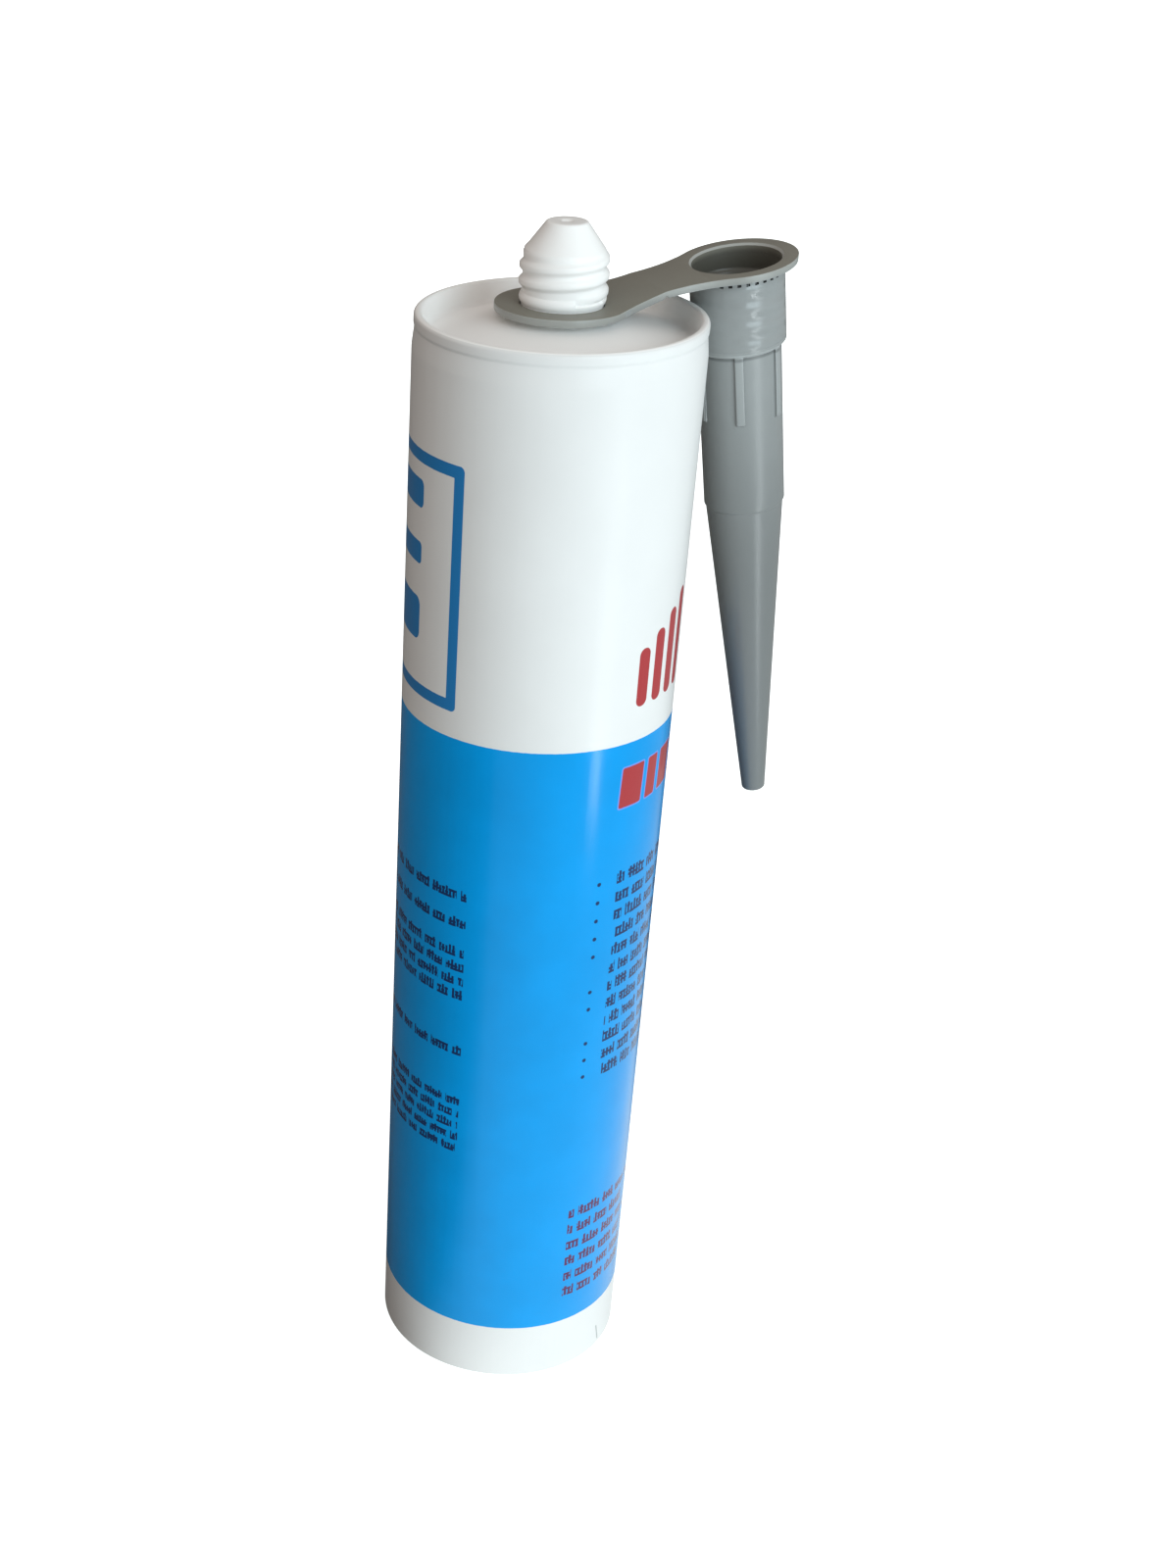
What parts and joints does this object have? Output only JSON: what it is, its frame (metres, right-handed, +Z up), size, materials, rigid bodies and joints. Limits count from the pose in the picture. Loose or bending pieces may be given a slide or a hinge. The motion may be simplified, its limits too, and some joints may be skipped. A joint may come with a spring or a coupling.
{
  "type": "caulk tube",
  "caption": "Standing sealant cartridge with a recessed head, threaded neck, piston and a tethered nozzle hanging at its side.",
  "frame": {"origin": "centre of the rear rim that the tube stands on", "axes": "+Z up the tube towards the neck, +X from the neck towards the hanging nozzle at rest"},
  "size_m": [0.0764, 0.05, 0.2299],
  "materials": {
    "tube_plastic": "white polyethylene with a printed blue band",
    "piston_plastic": "natural white polyethylene",
    "sealant": "smooth uncured sealant",
    "nozzle_plastic": "mid grey polyethylene, satin"
  },
  "bodies": {
    "tube": {"cartridge": "tube_plastic", "sealant": "sealant"},
    "follower": {"piston": "piston_plastic"},
    "tethered_nozzle": {"nozzle": "nozzle_plastic"}
  },
  "joints": [
    {"name": "piston_slide", "type": "slide", "parent": "tube", "child": "follower", "axis": [0, 0, 1], "range_m": [0, 0.17], "deforming": ["sealant"]},
    {"name": "nozzle_swivel", "type": "hinge", "parent": "tube", "child": "tethered_nozzle", "pos_m": [0, 0, 0.2161], "axis": [0, 0, 1], "continuous": true}
  ]
}
